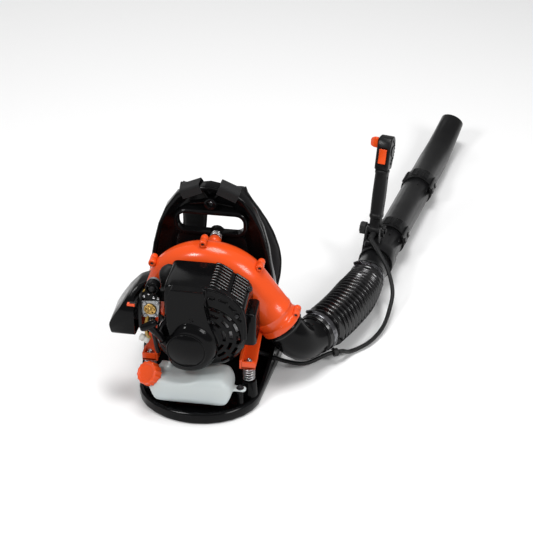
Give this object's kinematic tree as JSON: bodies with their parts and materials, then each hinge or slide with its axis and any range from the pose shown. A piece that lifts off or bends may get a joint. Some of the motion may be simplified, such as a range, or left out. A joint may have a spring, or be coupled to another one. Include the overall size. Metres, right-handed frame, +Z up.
{
  "type": "backpack leaf blower",
  "caption": "Petrol engine and fan on a padded back frame blow air through an elbow, a ribbed hose and a long wand with a bent nozzle; the throttle handle stands on the wand.",
  "frame": {"origin": "underside of the base tray, on its centre line, where the machine stands on the ground", "axes": "+Z up, +Y towards the wearer's back and along the wand, +X to the side the wand leaves on"},
  "size_m": [0.6669, 1.2575, 0.4284],
  "materials": {
    "gloss_black": "gloss moulded nylon",
    "satin_black": "satin moulded plastic",
    "black_rubber": "matt rubber",
    "orange_shell": "gloss moulded plastic",
    "natural_tank": "translucent natural polyethylene",
    "webbing": "woven polyester",
    "padding": "mesh cloth over foam",
    "alloy": "as cast",
    "bright_steel": "zinc plated",
    "filter_foam": "open-cell foam"
  },
  "bodies": {
    "machine": {"frame": "gloss_black", "spring_left": "bright_steel", "spring_right": "bright_steel", "spring_top": "bright_steel", "fan_case_front": "orange_shell", "fan_case_back": "orange_shell", "inlet_grille": "satin_black", "crankcase": "alloy", "cylinder": "alloy", "cylinder_cover": "satin_black", "spark_plug": "black_rubber", "muffler": "bright_steel", "muffler_guard": "satin_black", "starter_housing": "gloss_black", "insulator": "black_rubber", "carburettor": "alloy", "air_cleaner_cover": "satin_black", "air_filter_base": "satin_black", "air_filter": "filter_foam", "fuel_tank": "natural_tank", "fuel_line": "satin_black", "elbow": "satin_black", "clamp_elbow": "bright_steel", "hose_lower": "black_rubber", "cable_clip": "black_rubber", "cable_fixed": "black_rubber", "cable_loop_a": "black_rubber", "shoulder_pad_left": "padding", "shoulder_pad_right": "padding", "lower_strap_left": "webbing", "lower_strap_right": "webbing", "back_cushion": "padding", "strap_left": "webbing", "strap_right": "webbing"},
    "rotor": {"crankshaft": "bright_steel", "impeller": "satin_black", "flywheel": "alloy"},
    "pulley": {"recoil_pulley": "satin_black"},
    "grip": {"starter_grip": "gloss_black", "starter_rope": "webbing"},
    "primer": {"purge_bulb": "black_rubber"},
    "throttle": {"throttle_lever": "bright_steel"},
    "choke": {"choke_lever": "orange_shell"},
    "tank_cap": {"fuel_cap": "orange_shell"},
    "hose_mid": {"hose_upper": "black_rubber", "cable_loop_b": "black_rubber"},
    "hose_end": {"clamp_pipe": "bright_steel", "cable_loop_c": "black_rubber"},
    "wand": {"swivel_pipe": "satin_black", "handle_bracket": "satin_black"},
    "handle": {"handle_stem": "satin_black", "handle_head": "satin_black"},
    "knob": {"handle_knob": "black_rubber"},
    "throttle_trigger": {"trigger": "satin_black"},
    "cruise": {"cruise_lever": "orange_shell"},
    "switch": {"stop_switch": "orange_shell"},
    "pipe": {"blower_pipe": "satin_black"},
    "outlet": {"nozzle": "satin_black"}
  },
  "joints": [
    {"name": "rotor_spin", "type": "hinge", "parent": "machine", "child": "rotor", "pos_m": [-0.012, 0, 0.175], "axis": [0, 1, 0], "continuous": true},
    {"name": "starter_pull", "type": "slide", "parent": "machine", "child": "grip", "axis": [-0.5211, -0.2305, 0.8218], "range_m": [0, 0.6], "stiffness_N_per_m": 12, "springref_m": -0.4, "deforming": ["starter_rope"]},
    {"name": "pulley_spin", "type": "hinge", "parent": "machine", "child": "pulley", "pos_m": [-0.012, -0.09, 0.175], "axis": [0, 1, 0], "range_deg": [0, 1200]},
    {"name": "primer_press", "type": "slide", "parent": "machine", "child": "primer", "axis": [0, 1, 0], "range_m": [0, 0.003], "stiffness_N_per_m": 400, "springref_m": -0.0005},
    {"name": "throttle_turn", "type": "hinge", "parent": "machine", "child": "throttle", "pos_m": [-0.096, -0.044, 0.194], "axis": [0, 0, 1], "range_deg": [0, 62]},
    {"name": "choke_turn", "type": "hinge", "parent": "machine", "child": "choke", "pos_m": [-0.12, -0.056, 0.24], "axis": [1, 0, 0], "range_deg": [0, 32]},
    {"name": "cap_turn", "type": "hinge", "parent": "machine", "child": "tank_cap", "pos_m": [-0.086, -0.101, 0.08], "axis": [-0.4504, -0.6006, 0.6606], "range_deg": [0, 360]},
    {"name": "hose_swing", "type": "hinge", "parent": "machine", "child": "hose_mid", "pos_m": [0.2556, 0.1838, 0.064], "axis": [0, 0, 1], "range_deg": [-30, 30], "deforming": ["hose_lower", "cable_loop_a"]},
    {"name": "hose_lift", "type": "hinge", "parent": "hose_mid", "child": "hose_end", "pos_m": [0.2931, 0.2819, 0.0619], "axis": [0.9829, -0.1839, 0], "range_deg": [-30, 50], "deforming": ["hose_upper", "cable_loop_b"]},
    {"name": "wand_twist", "type": "hinge", "parent": "hose_end", "child": "wand", "pos_m": [0.31, 0.348, 0.06], "axis": [0.1838, 0.9821, -0.0401], "range_deg": [-45, 45], "deforming": ["cable_loop_c"]},
    {"name": "handle_tilt", "type": "hinge", "parent": "wand", "child": "handle", "pos_m": [0.31407, 0.46761, 0.1153], "axis": [0.9829, -0.1839, 0], "range_deg": [-25, 25]},
    {"name": "knob_turn", "type": "hinge", "parent": "wand", "child": "knob", "pos_m": [0.31407, 0.46761, 0.1153], "axis": [-0.9829, 0.1839, 0], "range_deg": [0, 360]},
    {"name": "trigger_pull", "type": "hinge", "parent": "handle", "child": "throttle_trigger", "pos_m": [0.32516, 0.52687, 0.25417], "axis": [0.9829, -0.1839, 0], "range_deg": [-8, 0], "stiffness_Nm_per_rad": 0.5, "springref_deg": 5.73},
    {"name": "cruise_turn", "type": "hinge", "parent": "handle", "child": "cruise", "pos_m": [0.31039, 0.53655, 0.30689], "axis": [0.9829, -0.1839, 0], "range_deg": [0, 40]},
    {"name": "switch_rock", "type": "hinge", "parent": "handle", "child": "switch", "pos_m": [0.32286, 0.51458, 0.28504], "axis": [0.9829, -0.1839, 0], "range_deg": [-6, 6]},
    {"name": "pipe_turn", "type": "hinge", "parent": "wand", "child": "pipe", "pos_m": [0.31, 0.348, 0.06], "axis": [0.1838, 0.9821, -0.0401], "range_deg": [0, 25]},
    {"name": "nozzle_turn", "type": "hinge", "parent": "pipe", "child": "outlet", "pos_m": [0.31, 0.348, 0.06], "axis": [0.1838, 0.9821, -0.0401], "range_deg": [0, 25]}
  ],
  "couplings": [
    {"joint": "pulley_spin", "follows": "starter_pull", "rad_per_m": 34.483},
    {"joint": "throttle_turn", "follows": "trigger_pull", "ratio": -7.5}
  ]
}
